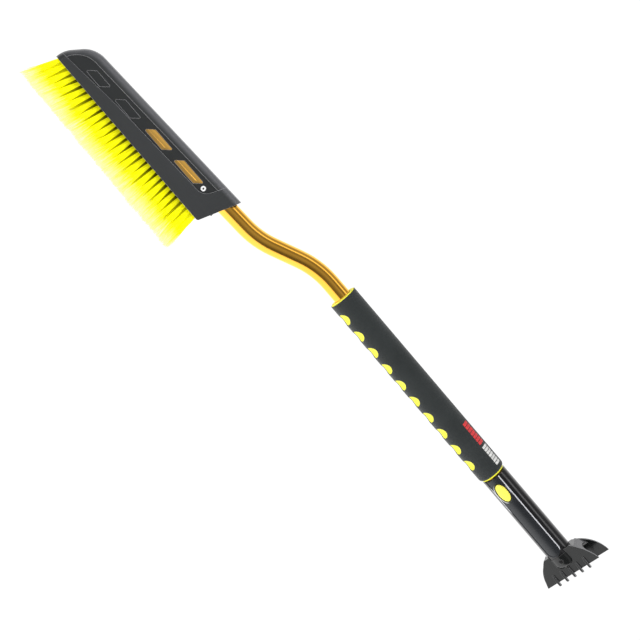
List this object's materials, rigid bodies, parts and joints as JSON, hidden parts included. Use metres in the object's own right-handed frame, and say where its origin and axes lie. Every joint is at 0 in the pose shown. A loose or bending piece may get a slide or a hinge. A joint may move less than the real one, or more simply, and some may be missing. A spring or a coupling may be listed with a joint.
{
  "type": "windshield ice scraper",
  "caption": "Car snow brush and ice scraper on a bent aluminium tube, with a foam finger grip and a detachable scraper released by a push button.",
  "frame": {"origin": "centre of the foam grip, on the axis of the tube's straight part", "axes": "+X along the tube towards the scraper, -Z the way the bristles point, -Y the side with the thumb panel"},
  "size_m": [0.8791, 0.0547, 0.1698],
  "materials": {
    "gold_tube": "gold anodised, glossy",
    "yellow_foam": "fine closed-cell foam",
    "black_foam": "fine closed-cell foam",
    "grey_plastic": "satin moulded",
    "yellow_bristle": "flagged filament",
    "steel": "zinc plated",
    "black_plastic": "fine satin",
    "black_gloss": "gloss moulded",
    "natural_plastic": "smooth acetal",
    "yellow_plastic": "satin moulded"
  },
  "bodies": {
    "handle": {"shaft_tube": "gold_tube", "grip_inner_foam": "yellow_foam", "grip_outer_foam": "black_foam", "head_cover": "grey_plastic", "brush_base": "grey_plastic", "bristle_row_front": "yellow_bristle", "bristle_row_middle": "yellow_bristle", "bristle_row_rear": "yellow_bristle", "tuft_staples": "steel", "head_rivets": "steel", "rivet_mandrels": "steel", "head_screws": "steel", "tube_plug": "black_plastic", "snap_clip": "natural_plastic"},
    "scraper": {"scraper_shaft": "black_gloss", "thumb_panel": "black_plastic", "scraper_head": "black_gloss", "neck_screw": "steel"},
    "release_button": {"release_button": "yellow_plastic"}
  },
  "joints": [
    {"name": "scraper_pull", "type": "slide", "parent": "handle", "child": "scraper", "axis": [1, 0, 0], "range_m": [0, 0.08], "deforming": ["snap_clip"]},
    {"name": "button_press", "type": "slide", "parent": "scraper", "child": "release_button", "axis": [0, 0.9135, 0.4067], "range_m": [0, 0.00145], "stiffness_N_per_m": 4000, "deforming": ["snap_clip"]}
  ]
}
